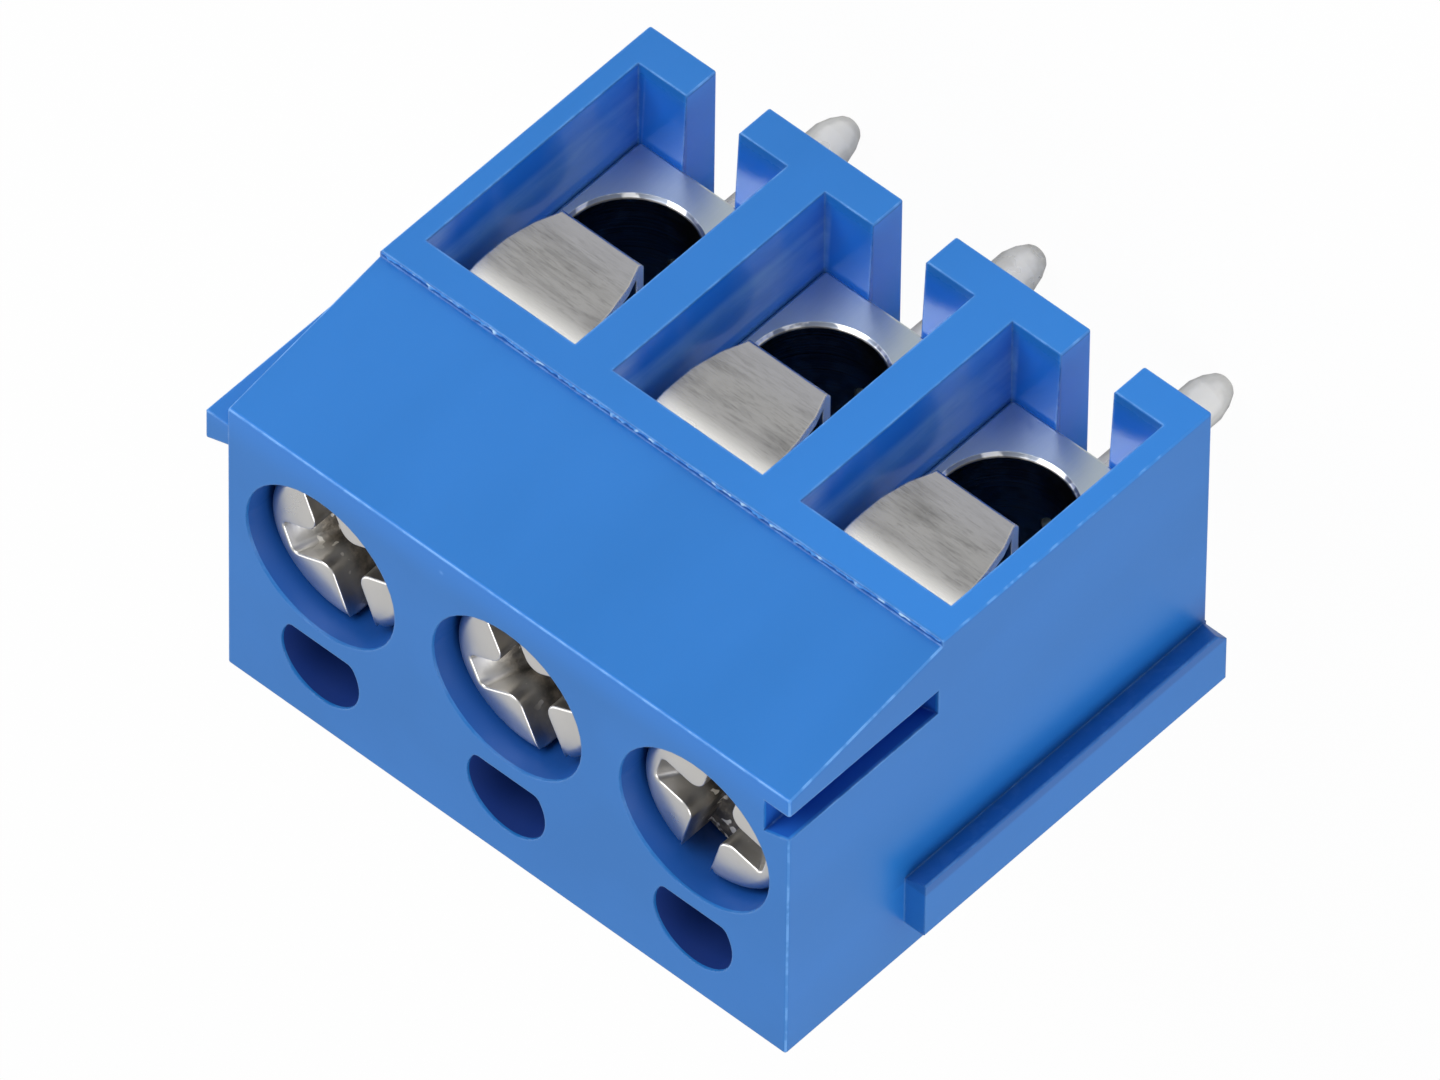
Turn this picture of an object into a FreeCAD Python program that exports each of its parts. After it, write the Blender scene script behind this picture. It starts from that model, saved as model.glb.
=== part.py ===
# Three-pole screw terminal for a printed circuit board, 5 mm pitch.
#
# +Z is up, away from the board, and the seating plane is z = 0.
# The wires enter from -Y, and the poles stand in a row along X.
# The origin is where the middle pin's axis meets the seating plane.
# All lengths are in millimetres.
#
# The housing is one moulding. Each pole has a drilled contact block that is pushed in
# from the wire side, a solder pin pressed into the block, a wire guard (a bent strip
# whose tail lies in the wire hole) and a clamp screw that presses the guard down.

import FreeCAD
import Part
import Sketcher
import math
import os

doc = FreeCAD.newDocument("PcbScrewTerminal")
sheet = doc.addObject("Spreadsheet::Sheet", "Sizes")

SIZES = [
    # The row of poles and the housing's outline
    ("pitch", 5.0, "pole to pole"),
    ("width", 15.0, "housing along X, three pitches"),
    ("front", 4.0, "wire face in front of the pin axes"),
    ("back", 4.8, "back face behind the pin axes"),
    ("height", 12.5, "screw face above the board"),
    ("frame_top", 8.0, "top of the frame round the wire openings"),
    ("slope_low", 3.85, "sloped face's low end in front of the pin axes"),
    ("slope_high", 3.05, "sloped face's high end in front of the pin axes"),
    ("corner", 0.05, "radius on the long outer edges"),
    ("end_edge", 0.06, "radius on the edges of the two ends"),
    # Wire openings and the chambers behind them
    ("mouth_half", 2.0, "half the opening's width at the wire face"),
    ("mouth_low", 0.9, "opening's lower edge"),
    ("mouth_high", 7.2, "opening's upper edge"),
    ("mouth_depth", 2.15, "depth of the opening in front of the block"),
    ("draft", 2.6, "mould draft of the opening, in degrees"),
    ("chamber_half", 1.9, "half the chamber's width"),
    ("chamber_low", 1.0, "chamber floor"),
    ("chamber_high", 7.1, "chamber ceiling"),
    ("chamber_back", 2.0, "chamber's back wall behind the pin axes"),
    ("slot_half", 0.7, "half the width of the pin's slot in the floor"),
    # Screw holes and the blind pockets behind them
    ("screw_y", -0.15, "screw axis"),
    ("screw_hole", 2.0, "radius of the screw hole in the housing"),
    ("core_radius", 1.05, "radius of the D-shaped pocket"),
    ("core_y", 2.9, "centre of the D-shaped pocket's round side"),
    ("core_flat", 2.25, "flat side of the D-shaped pocket"),
    ("core_depth", 4.2, "depth of the D-shaped pocket"),
    ("core_corner", 0.2, "radius of the D-shaped pocket's corners"),
    # Dovetail rail and rib that join two housings side by side
    ("rail_out", 0.55, "rail's reach past the end"),
    ("rail_low", 2.24, "rail's outer front edge"),
    ("rail_root", 2.44, "rail's front edge at the end face"),
    ("rail_high", 3.8, "rail's back edge"),
    ("rail_top", 9.0, "upper end of the rail"),
    ("rail_lead", 0.3, "lead-in at the rail's lower end"),
    ("rail_gap", 0.08, "room round the rail in its groove"),
    ("rib_front", 2.52, "rib's front side, in front of the pin axes"),
    ("rib_back", 1.7, "rib's outer back edge, in front of the pin axes"),
    ("rib_root", 1.93, "rib's back edge at the end face, in front of the pin axes"),
    ("rib_out", 0.61, "rib's reach past the end"),
    ("rib_low", 8.15, "lower end of the rib"),
    ("groove_room", 0.06, "room round the rib in its groove"),
    # Contact block
    ("block_half", 1.85, "half the block's width"),
    ("block_front", 1.85, "block's front in front of the pin axes"),
    ("block_back", 1.95, "block's back behind the pin axes"),
    ("block_low", 1.0, "block's underside"),
    ("block_high", 7.0, "block's top"),
    ("wire_z", 3.35, "axis of the wire hole"),
    ("wire_radius", 1.5, "radius of the wire hole"),
    ("wire_rim", 0.09, "chamfer on the wire hole's rims"),
    ("tap_radius", 1.5, "radius of the tapped hole"),
    ("block_edge", 0.08, "chamfer on the block's edges"),
    # Solder pin
    ("pin_radius", 0.5, "radius of the solder pin"),
    ("pin_length", 3.3, "pin below the board face"),
    ("pin_tip", 0.3, "radius of the pin's blunt tip"),
    ("pin_waist", 0.42, "radius halfway down the pin's pointed end"),
    ("pin_taper", 0.6, "length of the pin's pointed end"),
    ("root_radius", 0.58, "radius of the pin's conical root at the block"),
    ("neck_radius", 0.3, "radius of the pin's pressed neck"),
    ("neck_length", 0.6, "length of the pressed neck"),
    # Wire guard
    ("strip", 0.25, "thickness of the guard's strip"),
    ("tail_half", 1.06, "half the width of the guard's tail"),
    ("tail_low", 4.12, "underside of the tail"),
    ("tail_end", 1.7, "end of the tail behind the pin axes"),
    ("lip_front", 3.07, "front of the lip in front of the pin axes"),
    ("lip_half", 1.49, "half the width of the lip"),
    ("lip_wide", 1.42, "half the lip's width near the top of its taper"),
    ("lip_mid", 1.27, "half the lip's width in the middle of its taper"),
    ("lip_high", 6.97, "top of the lip"),
    ("bend", 0.15, "outer radius of the guard's coined bend"),
    # Clamp screw
    ("head_radius", 1.9, "radius of the screw's head"),
    ("head_top", 12.0, "top of the head"),
    ("head_height", 2.0, "height of the head"),
    ("head_edge", 0.28, "width of the head's rounded top edge"),
    ("shank_radius", 1.45, "radius of the screw's shank"),
    ("tip_edge", 0.4, "chamfer on the screw's tip"),
    ("drive_half", 0.39, "half the width of the driver slot and cross"),
    ("drive_depth", 0.95, "depth of the driver slot"),
    ("cross_reach", 1.48, "reach of the cross arms from the screw's axis"),
    ("cross_foot", 0.8, "reach of the cross arms at their bottom"),
    ("cross_depth", 1.25, "depth of the cross"),
    ("cross_round", 0.34, "radius where slot and cross meet"),
    ("turn_left", 76.0, "how far the left pole's screw is turned, in degrees"),
    ("turn_middle", 116.0, "how far the middle pole's screw is turned, in degrees"),
    ("turn_right", 113.0, "how far the right pole's screw is turned, in degrees"),
]

VALUE = {}
for row, (alias, number, meaning) in enumerate(SIZES, start=1):
    sheet.set("A%d" % row, alias)
    sheet.set("B%d" % row, str(number))
    sheet.set("C%d" % row, meaning)
    sheet.setAlias("B%d" % row, alias)
    VALUE[alias] = number
doc.recompute()


def number(expression):
    """The value of an expression written with the sheet's aliases."""
    total = 0.0
    for term in expression.replace("-", "+-").split("+"):
        term = term.strip()
        if not term:
            continue
        sign = 1.0
        if term.startswith("-"):
            sign = -1.0
            term = term[1:].strip()
        product = 1.0
        for factor in term.split("*"):
            factor = factor.strip()
            product *= VALUE[factor] if factor in VALUE else float(factor)
        total += sign * product
    return total


def bound(expression):
    """The same expression with each alias read from the sheet."""
    words = []
    for word in expression.replace("*", " * ").replace("+", " + ").replace("-", " - ").split():
        words.append("Sizes." + word if word in VALUE else word)
    return " ".join(words)


def new_body(label):
    body = doc.addObject("PartDesign::Body", label)
    body.Label = label
    return body


def new_sketch(body, name, role, offset="0"):
    """A sketch parallel to one of the body's own planes, moved along its normal."""
    plane = [f for f in body.Origin.OriginFeatures if f.Role == role][0]
    sketch = body.newObject("Sketcher::SketchObject", name)
    sketch.AttachmentSupport = [(plane, "")]
    sketch.MapMode = "FlatFace"
    if offset != "0":
        sketch.AttachmentOffset = FreeCAD.Placement(
            FreeCAD.Vector(0, 0, number(offset)), FreeCAD.Rotation())
        sketch.setExpression("AttachmentOffset.Base.z", bound(offset))
    return sketch


def place_point(sketch, geometry, point, x, y, name):
    """Holds a point at two distances from the sketch's origin."""
    for axis, text in (("X", x), ("Y", y)):
        value = number(text)
        if abs(value) < 1e-9:
            kind = Sketcher.Constraint("PointOnObject", geometry, point, -2 if axis == "X" else -1)
            sketch.addConstraint(kind)
            continue
        index = sketch.addConstraint(
            Sketcher.Constraint("Distance" + axis, -1, 1, geometry, point, value))
        label = "%s%s" % (name, axis)
        sketch.renameConstraint(index, label)
        sketch.setExpression("Constraints." + label, bound(text))


def polygon(sketch, corners, name="p"):
    """A closed outline whose corners are pairs of expressions."""
    points = [FreeCAD.Vector(number(x), number(y), 0) for x, y in corners]
    first = sketch.GeometryCount
    count = len(points)
    for i in range(count):
        sketch.addGeometry(Part.LineSegment(points[i], points[(i + 1) % count]), False)
    for i in range(count):
        sketch.addConstraint(
            Sketcher.Constraint("Coincident", first + i, 2, first + (i + 1) % count, 1))
    for i, (x, y) in enumerate(corners):
        place_point(sketch, first + i, 1, x, y, "%s%d" % (name, i))


def rectangle(sketch, x0, x1, y0, y1, name="r"):
    polygon(sketch, [(x0, y0), (x1, y0), (x1, y1), (x0, y1)], name)


def circle(sketch, x, y, radius, name="c"):
    centre = FreeCAD.Vector(number(x), number(y), 0)
    index = sketch.addGeometry(Part.Circle(centre, FreeCAD.Vector(0, 0, 1), number(radius)), False)
    place_point(sketch, index, 3, x, y, name)
    held = sketch.addConstraint(Sketcher.Constraint("Radius", index, number(radius)))
    sketch.renameConstraint(held, name + "R")
    sketch.setExpression("Constraints." + name + "R", bound(radius))


def feature(body, kind, name, sketch, length=None):
    """A pad, pocket or similar made from a sketch, with its length bound to the sheet."""
    made = body.newObject("PartDesign::" + kind, name)
    made.Profile = sketch
    if length is not None:
        made.Length = number(length)
        made.setExpression("Length", bound(length))
    sketch.Visibility = False
    return made


def edges_where(shape, test):
    """The names of the edges whose middle point and ends pass a test."""
    names = []
    for i, edge in enumerate(shape.Edges, start=1):
        middle = edge.valueAt((edge.FirstParameter + edge.LastParameter) / 2)
        if test(edge, middle):
            names.append("Edge%d" % i)
    return names


def near(a, b, room=0.01):
    return abs(a - b) < room


def dress(body, kind, name, base, test, size):
    """A fillet or chamfer on chosen edges."""
    doc.recompute()
    chosen = edges_where(base.Shape, test)
    if not chosen:
        raise RuntimeError("no edge found for " + name)
    made = body.newObject("PartDesign::" + kind, name)
    made.Base = (base, chosen)
    if kind == "Fillet":
        made.Radius = number(size)
        made.setExpression("Radius", bound(size))
    else:
        made.Size = number(size)
        made.setExpression("Size", bound(size))
    doc.recompute()
    return made


def along(edge, axis):
    """Whether an edge is a straight line along an axis."""
    if len(edge.Vertexes) < 2:
        return False
    span = edge.Vertexes[1].Point.sub(edge.Vertexes[0].Point)
    parts = [abs(span.x), abs(span.y), abs(span.z)]
    return parts["XYZ".index(axis)] > 1e-6 and sum(parts) - parts["XYZ".index(axis)] < 1e-6


def cut_check(base, cut, name):
    """A cut has to take material away."""
    doc.recompute()
    if not cut.Shape.Volume < base.Shape.Volume - 1e-4:
        raise RuntimeError(name + " cuts nothing")


# Housing: the outline from the side, with the frame's small step and the sloped face.
def make_housing():
    body = new_body("housing")
    side = new_sketch(body, "HousingSide", "YZ_Plane")
    polygon(side, [("-1*front", "0"), ("back", "0"), ("back", "height"), ("-1*slope_high", "height"),
                   ("-1*slope_low", "frame_top"), ("-1*front", "frame_top")])
    block = feature(body, "Pad", "HousingBlock", side, "width")
    block.Midplane = True
    half = number("width") / 2

    def long_edge(edge, middle):
        if not along(edge, "X"):
            return False
        at_step = near(middle.z, number("frame_top"))
        return not at_step
    rounded = dress(body, "Fillet", "LongEdges", block, long_edge, "corner")

    def end_edge(edge, middle):
        if not near(abs(middle.x), half):
            return False
        step = near(middle.z, number("frame_top"), 0.05)
        return not step
    rounded = dress(body, "Fillet", "EndEdges", rounded, end_edge, "end_edge")

    # Openings, chambers, floor slots, screw holes and pockets of one pole, then of all three.
    mouth = new_sketch(body, "WireMouth", "XZ_Plane", "front")
    rectangle(mouth, "-1*pitch-1*mouth_half", "-1*pitch+mouth_half", "mouth_low", "mouth_high")
    mouth_cut = feature(body, "Pocket", "WireMouthCut", mouth, "mouth_depth")
    mouth_cut.TaperAngle = -number("draft")
    mouth_cut.setExpression("TaperAngle", "-1 * Sizes.draft")
    cut_check(rounded, mouth_cut, "WireMouthCut")

    chamber = new_sketch(body, "Chamber", "XZ_Plane", "front-1*mouth_depth")
    rectangle(chamber, "-1*pitch-1*chamber_half", "-1*pitch+chamber_half",
              "chamber_low", "chamber_high")
    chamber_cut = feature(body, "Pocket", "ChamberCut", chamber,
                          "front-1*mouth_depth+chamber_back")
    cut_check(mouth_cut, chamber_cut, "ChamberCut")

    slot = new_sketch(body, "PinSlot", "XY_Plane")
    rectangle(slot, "-1*pitch-1*slot_half", "-1*pitch+slot_half", "-1*front-1", "0")
    slot_cut = feature(body, "Pocket", "PinSlotCut", slot, "chamber_low+0.2")
    slot_cut.Reversed = True
    cut_check(chamber_cut, slot_cut, "PinSlotCut")

    slot_end = new_sketch(body, "PinSlotEnd", "XY_Plane")
    circle(slot_end, "-1*pitch", "0", "slot_half")
    slot_end_cut = feature(body, "Pocket", "PinSlotEndCut", slot_end, "chamber_low+0.2")
    slot_end_cut.Reversed = True
    cut_check(slot_cut, slot_end_cut, "PinSlotEndCut")

    screw = new_sketch(body, "ScrewHole", "XY_Plane", "height")
    circle(screw, "-1*pitch", "screw_y", "screw_hole")
    screw_cut = feature(body, "Pocket", "ScrewHoleCut", screw, "height-1*chamber_high+0.1")
    cut_check(slot_end_cut, screw_cut, "ScrewHoleCut")

    core = new_sketch(body, "CorePocket", "XY_Plane", "height")
    radius = number("core_radius")
    flat = number("core_flat") - number("core_y")
    reach = math.sqrt(radius ** 2 - flat ** 2)
    centre = FreeCAD.Vector(-number("pitch"), number("core_y"), 0)
    start = math.atan2(flat, reach)
    arc = Part.ArcOfCircle(Part.Circle(centre, FreeCAD.Vector(0, 0, 1), radius),
                           start, math.pi - start)
    core.addGeometry(arc, False)
    core.addGeometry(Part.LineSegment(centre + FreeCAD.Vector(-reach, flat, 0),
                                      centre + FreeCAD.Vector(reach, flat, 0)), False)
    core.addConstraint(Sketcher.Constraint("Coincident", 0, 2, 1, 1))
    core.addConstraint(Sketcher.Constraint("Coincident", 0, 1, 1, 2))
    core.addConstraint(Sketcher.Constraint("Horizontal", 1))
    place_point(core, 0, 3, "-1*pitch", "core_y", "centre")
    held = core.addConstraint(Sketcher.Constraint("Radius", 0, radius))
    core.renameConstraint(held, "round")
    core.setExpression("Constraints.round", "Sizes.core_radius")
    held = core.addConstraint(Sketcher.Constraint("DistanceY", -1, 1, 1, 1, number("core_flat")))
    core.renameConstraint(held, "flat")
    core.setExpression("Constraints.flat", "Sizes.core_flat")
    core_cut = feature(body, "Pocket", "CorePocketCut", core, "core_depth")
    cut_check(screw_cut, core_cut, "CorePocketCut")

    poles = body.newObject("PartDesign::LinearPattern", "Poles")
    poles.Originals = [mouth_cut, chamber_cut, slot_cut, slot_end_cut, screw_cut, core_cut]
    axis = [f for f in body.Origin.OriginFeatures if f.Role == "X_Axis"][0]
    poles.Direction = (axis, [""])
    poles.Length = 2 * number("pitch")
    poles.setExpression("Length", "2 * Sizes.pitch")
    poles.Occurrences = 3
    body.Tip = poles
    cut_check(core_cut, poles, "Poles")

    # Corners of the D-shaped pockets and of the floor beside the slots.
    def core_corner(edge, middle):
        pole = min((-number("pitch"), 0.0, number("pitch")), key=lambda x: abs(middle.x - x))
        beside = near(abs(middle.x - pole), reach, 0.02)
        return along(edge, "Z") and beside and near(middle.y, number("core_flat"), 0.02)
    poles = dress(body, "Fillet", "CoreCorners", poles, core_corner, "core_corner")

    def slot_corner(edge, middle):
        pole = min((-number("pitch"), 0.0, number("pitch")), key=lambda x: abs(middle.x - x))
        beside = near(abs(middle.x - pole), number("slot_half"), 0.02)
        front = near(middle.y, -number("front"), 0.3)
        return along(edge, "Z") and beside and front and middle.z < number("mouth_low")
    poles = dress(body, "Fillet", "SlotCorners", poles, slot_corner, "end_edge")

    # Groove at the -X end for the next housing's rib, open at the top.
    groove = new_sketch(body, "RibGroove", "XY_Plane", "height")
    polygon(groove, [("-0.5*width-1", "-1*rib_front-1*groove_room"),
                     ("-0.5*width+rib_out+groove_room", "-1*rib_front-1*groove_room"),
                     ("-0.5*width+rib_out+groove_room", "-1*rib_back+groove_room"),
                     ("-0.5*width", "-1*rib_root+groove_room"),
                     ("-0.5*width-1", "-1*rib_root+groove_room")])
    groove_cut = feature(body, "Pocket", "RibGrooveCut", groove,
                         "height-1*rib_low+groove_room")
    cut_check(poles, groove_cut, "RibGrooveCut")

    # Rail at the -X end, undercut on its front side, and its groove at the +X end.
    rail = new_sketch(body, "Rail", "XY_Plane")
    polygon(rail, [("-0.5*width+0.3", "rail_root"), ("-0.5*width", "rail_root"),
                   ("-0.5*width-1*rail_out", "rail_low"), ("-0.5*width-1*rail_out", "rail_high"),
                   ("-0.5*width+0.3", "rail_high")])
    rail_pad = feature(body, "Pad", "RailPad", rail, "rail_top")

    def rail_edge(edge, middle):
        outside = middle.x < -half - number("rail_out") + 0.01
        return outside and along(edge, "Z")
    rounded_rail = dress(body, "Fillet", "RailEdges", rail_pad, rail_edge, "corner")

    lead = new_sketch(body, "RailLead", "YZ_Plane", "-0.5*width")
    polygon(lead, [("rail_low-1", "-1"), ("rail_low+rail_lead+1", "-1"),
                   ("rail_low-1", "rail_lead+1")])
    lead_cut = feature(body, "Pocket", "RailLeadCut", lead, "rail_out+1")
    cut_check(rounded_rail, lead_cut, "RailLeadCut")

    rail_slot = new_sketch(body, "RailGroove", "XY_Plane")
    polygon(rail_slot, [("0.5*width+1", "rail_root-1*rail_gap"),
                        ("0.5*width", "rail_root-1*rail_gap"),
                        ("0.5*width-1*rail_out-1*rail_gap", "rail_low-1*rail_gap"),
                        ("0.5*width-1*rail_out-1*rail_gap", "rail_high+rail_gap"),
                        ("0.5*width+1", "rail_high+rail_gap")])
    rail_groove = feature(body, "Pocket", "RailGrooveCut", rail_slot, "rail_top+rail_gap")
    rail_groove.Reversed = True
    cut_check(lead_cut, rail_groove, "RailGrooveCut")

    # Rib at the +X end, undercut on its back side.
    rib = new_sketch(body, "Rib", "XY_Plane", "rib_low")
    polygon(rib, [("0.5*width-0.3", "-1*rib_front"), ("0.5*width+rib_out", "-1*rib_front"),
                  ("0.5*width+rib_out", "-1*rib_back"), ("0.5*width", "-1*rib_root"),
                  ("0.5*width-0.3", "-1*rib_root")])
    rib_pad = feature(body, "Pad", "RibPad", rib, "height-1*rib_low-0.02")

    def rib_edge(edge, middle):
        return middle.x > half + number("rib_out") - 0.01
    dress(body, "Fillet", "RibEdges", rib_pad, rib_edge, "end_edge")
    return body


# Contact block: a solid block, drilled for the wire, tapped for the screw.
def make_block(label, x):
    body = new_body(label)
    outline = new_sketch(body, "BlockOutline", "XY_Plane", "block_low")
    rectangle(outline, "-1*block_half", "block_half", "-1*block_front", "block_back")
    pad = feature(body, "Pad", "BlockPad", outline, "block_high-1*block_low")

    def all_edges(edge, middle):
        return True
    edged = dress(body, "Chamfer", "BlockEdges", pad, all_edges, "block_edge")

    wire = new_sketch(body, "WireHole", "XZ_Plane", "block_front")
    circle(wire, "0", "wire_z", "wire_radius")
    wire_cut = feature(body, "Pocket", "WireHoleCut", wire, "block_front+block_back")
    cut_check(edged, wire_cut, "WireHoleCut")

    def rims(edge, middle):
        round_edge = edge.Curve.TypeId == "Part::GeomCircle"
        return round_edge and near(edge.Curve.Radius, number("wire_radius"), 0.01)
    rimmed = dress(body, "Chamfer", "WireRims", wire_cut, rims, "wire_rim")

    tap = new_sketch(body, "TappedHole", "XY_Plane", "block_high")
    circle(tap, "0", "screw_y", "tap_radius")
    tap_cut = feature(body, "Pocket", "TappedHoleCut", tap, "block_high-1*wire_z")
    cut_check(rimmed, tap_cut, "TappedHoleCut")

    seat = new_sketch(body, "PinHole", "XY_Plane", "block_low")
    circle(seat, "0", "0", "neck_radius")
    seat_cut = feature(body, "Pocket", "PinHoleCut", seat, "wire_z-1*block_low")
    seat_cut.Reversed = True
    cut_check(tap_cut, seat_cut, "PinHoleCut")
    body.setExpression("Placement.Base.x", bound(x))
    return body


# Solder pin: round, with a pointed end, a root that widens to the block's underside
# and a neck pressed into the block.
def make_pin(label, x):
    body = new_body(label)
    half = new_sketch(body, "PinHalf", "XZ_Plane")
    polygon(half, [("0", "-1*pin_length"), ("pin_tip-0.06", "-1*pin_length"),
                   ("pin_tip", "0.06-1*pin_length"), ("pin_waist", "0.5*pin_taper-1*pin_length"),
                   ("pin_radius", "pin_taper-1*pin_length"), ("pin_radius", "0"),
                   ("root_radius", "block_low"),
                   ("neck_radius", "block_low"), ("neck_radius", "block_low+neck_length"),
                   ("0", "block_low+neck_length")])
    turned = feature(body, "Revolution", "PinTurned", half)
    turned.ReferenceAxis = (half, ["V_Axis"])
    turned.Angle = 360.0
    body.setExpression("Placement.Base.x", bound(x))
    return body


# Wire guard: a strip bent up in front of the block, its tail lying in the wire hole.
def make_guard(label, x):
    body = new_body(label)
    side = new_sketch(body, "GuardSide", "YZ_Plane")
    polygon(side, [("tail_end", "tail_low"), ("-1*lip_front", "tail_low"),
                   ("-1*lip_front+0.02", "tail_low+1.2"), ("-1*lip_front+0.14", "tail_low+2.15"),
                   ("-1*lip_front+0.40", "lip_high"), ("-1*lip_front+strip+0.39", "lip_high-0.08"),
                   ("-1*lip_front+strip+0.14", "tail_low+2.10"),
                   ("-1*lip_front+strip+0.02", "tail_low+1.18"),
                   ("-1*lip_front+strip", "tail_low+strip"), ("tail_end", "tail_low+strip")])
    pad = feature(body, "Pad", "GuardStrip", side, "2*lip_half")
    pad.Midplane = True

    def outer_bend(edge, middle):
        return along(edge, "X") and near(middle.z, number("tail_low")) and middle.y < 0
    bent = dress(body, "Fillet", "OuterBend", pad, outer_bend, "bend")

    def lip_bends(edge, middle):
        first = near(middle.z, number("tail_low+1.2"), 0.05)
        second = near(middle.z, number("tail_low+2.15"), 0.08)
        return along(edge, "X") and (first or second)
    bent = dress(body, "Fillet", "LipBends", bent, lip_bends, "4")

    # Both sides taper from the lip's full width to the narrow tail that fits the wire hole.
    cheeks = new_sketch(body, "GuardCheeks", "XZ_Plane", "front")
    for sign, name in (("", "right"), ("-1*", "left")):
        outside = sign + "pitch"
        polygon(cheeks, [(sign + "tail_half", "tail_low-0.5"), (sign + "tail_half", "tail_low+0.15"),
                         (sign + "lip_mid", "tail_low+0.67"), (sign + "lip_wide", "tail_low+1.35"),
                         (sign + "lip_half", "tail_low+2.15"), (outside, "tail_low+2.15"),
                         (outside, "tail_low-0.5")], name)
    cheek_cut = feature(body, "Pocket", "GuardCheekCut", cheeks, "front+tail_end+1")
    cut_check(bent, cheek_cut, "GuardCheekCut")

    def top_corner(edge, middle):
        return near(abs(middle.x), number("lip_half")) and middle.z > number("lip_high-0.1")
    dress(body, "Fillet", "LipCorners", cheek_cut, top_corner, "strip")
    body.setExpression("Placement.Base.x", bound(x))
    return body


# Clamp screw: turned head and shank, with a driver slot and a cross.
def make_screw(label, x, turn):
    body = new_body(label)
    half = new_sketch(body, "ScrewHalf", "XZ_Plane")
    polygon(half, [("0", "tail_low+strip"), ("shank_radius-1*tip_edge", "tail_low+strip"),
                   ("shank_radius", "tail_low+strip+tip_edge"),
                   ("shank_radius", "head_top-1*head_height"),
                   ("head_radius-0.12", "head_top-1*head_height"),
                   ("head_radius", "head_top-1*head_height+0.12"),
                   ("head_radius", "head_top-1*head_edge"),
                   ("head_radius-0.3*head_edge", "head_top-0.3*head_edge"),
                   ("head_radius-1*head_edge", "head_top"), ("0", "head_top")])
    turned = feature(body, "Revolution", "ScrewTurned", half)
    turned.ReferenceAxis = (half, ["V_Axis"])
    turned.Angle = 360.0

    slot = new_sketch(body, "DriverSlot", "XY_Plane", "head_top")
    rectangle(slot, "-1*head_radius-0.5", "head_radius+0.5", "-1*drive_half", "drive_half")
    slot_cut = feature(body, "Pocket", "DriverSlotCut", slot, "drive_depth")
    cut_check(turned, slot_cut, "DriverSlotCut")

    # The cross arms slope up to the head's face and end short of its rim.
    cross = new_sketch(body, "DriverCross", "YZ_Plane")
    polygon(cross, [("-1*cross_reach", "head_top+0.2"), ("-1*cross_reach", "head_top"),
                    ("-1*cross_foot", "head_top-1*cross_depth"),
                    ("cross_foot", "head_top-1*cross_depth"),
                    ("cross_reach", "head_top"), ("cross_reach", "head_top+0.2")])
    cross_cut = feature(body, "Pocket", "DriverCrossCut", cross, "2*drive_half")
    cross_cut.Midplane = True
    cut_check(slot_cut, cross_cut, "DriverCrossCut")

    def pad_corner(edge, middle):
        beside = near(abs(middle.x), number("drive_half"), 0.02)
        return along(edge, "Z") and beside and near(abs(middle.y), number("drive_half"), 0.02)
    dress(body, "Fillet", "DriverCorners", cross_cut, pad_corner, "cross_round")
    body.setExpression("Placement.Base.x", bound(x))
    body.setExpression("Placement.Base.y", "Sizes.screw_y")
    body.Placement.Rotation = FreeCAD.Rotation(FreeCAD.Vector(0, 0, 1), number(turn))
    body.setExpression("Placement.Rotation.Angle", bound(turn))
    return body


parts = [make_housing()]
for side, x in (("left", "-1*pitch"), ("middle", "0"), ("right", "pitch")):
    parts.append(make_block("contact_block_" + side, x))
    parts.append(make_pin("solder_pin_" + side, x))
    parts.append(make_guard("wire_guard_" + side, x))
    parts.append(make_screw("clamp_screw_" + side, x, "turn_" + side))
doc.recompute()

for item in doc.Objects:
    if "Invalid" in item.State or "Error" in item.State:
        raise RuntimeError("%s is %s" % (item.Name, item.State))

os.makedirs("parts", exist_ok=True)
for part in parts:
    shape = part.Shape
    if shape.isNull() or not shape.isValid():
        raise RuntimeError("bad shape: " + part.Label)
    shape.exportStep(os.path.join("parts", part.Label + ".step"))
    print(part.Label, "solids", len(shape.Solids), "volume", round(shape.Volume, 3), "mm3")
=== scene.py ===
# Three-pole screw terminal for a printed circuit board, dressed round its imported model.
#
# Lengths are in metres and MM turns millimetres into them. +Z is away from the board, the
# wires enter from -Y, and the poles stand 5 mm apart along X.
import math

import bmesh
import bpy
import numpy as np
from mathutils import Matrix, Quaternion, Vector


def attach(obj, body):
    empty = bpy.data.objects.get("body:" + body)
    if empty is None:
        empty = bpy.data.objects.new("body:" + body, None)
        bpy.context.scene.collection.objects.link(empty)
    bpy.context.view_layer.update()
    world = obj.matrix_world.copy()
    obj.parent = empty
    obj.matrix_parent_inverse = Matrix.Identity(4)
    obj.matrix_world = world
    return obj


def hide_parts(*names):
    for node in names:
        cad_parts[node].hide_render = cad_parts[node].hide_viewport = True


MM = 0.001
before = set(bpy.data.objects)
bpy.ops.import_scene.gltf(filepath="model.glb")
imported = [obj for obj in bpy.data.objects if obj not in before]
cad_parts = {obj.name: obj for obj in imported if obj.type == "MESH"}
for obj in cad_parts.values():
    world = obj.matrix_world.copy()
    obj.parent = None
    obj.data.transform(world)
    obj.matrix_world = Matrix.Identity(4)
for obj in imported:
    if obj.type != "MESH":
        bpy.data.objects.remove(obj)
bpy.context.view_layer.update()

# Camera: a long lens from in front, above and to the left. It is rolled far over, because
# the terminal was photographed lying on its back.
aim = Vector((0.0577, 0.6404, 6.1117)) * MM
towards = Vector((-0.42441, -0.76723, 0.48087)).normalized()
camera = bpy.data.objects.new("camera", bpy.data.cameras.new("camera"))
camera.data.lens = 900.0
camera.data.sensor_width = 36.0
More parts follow.
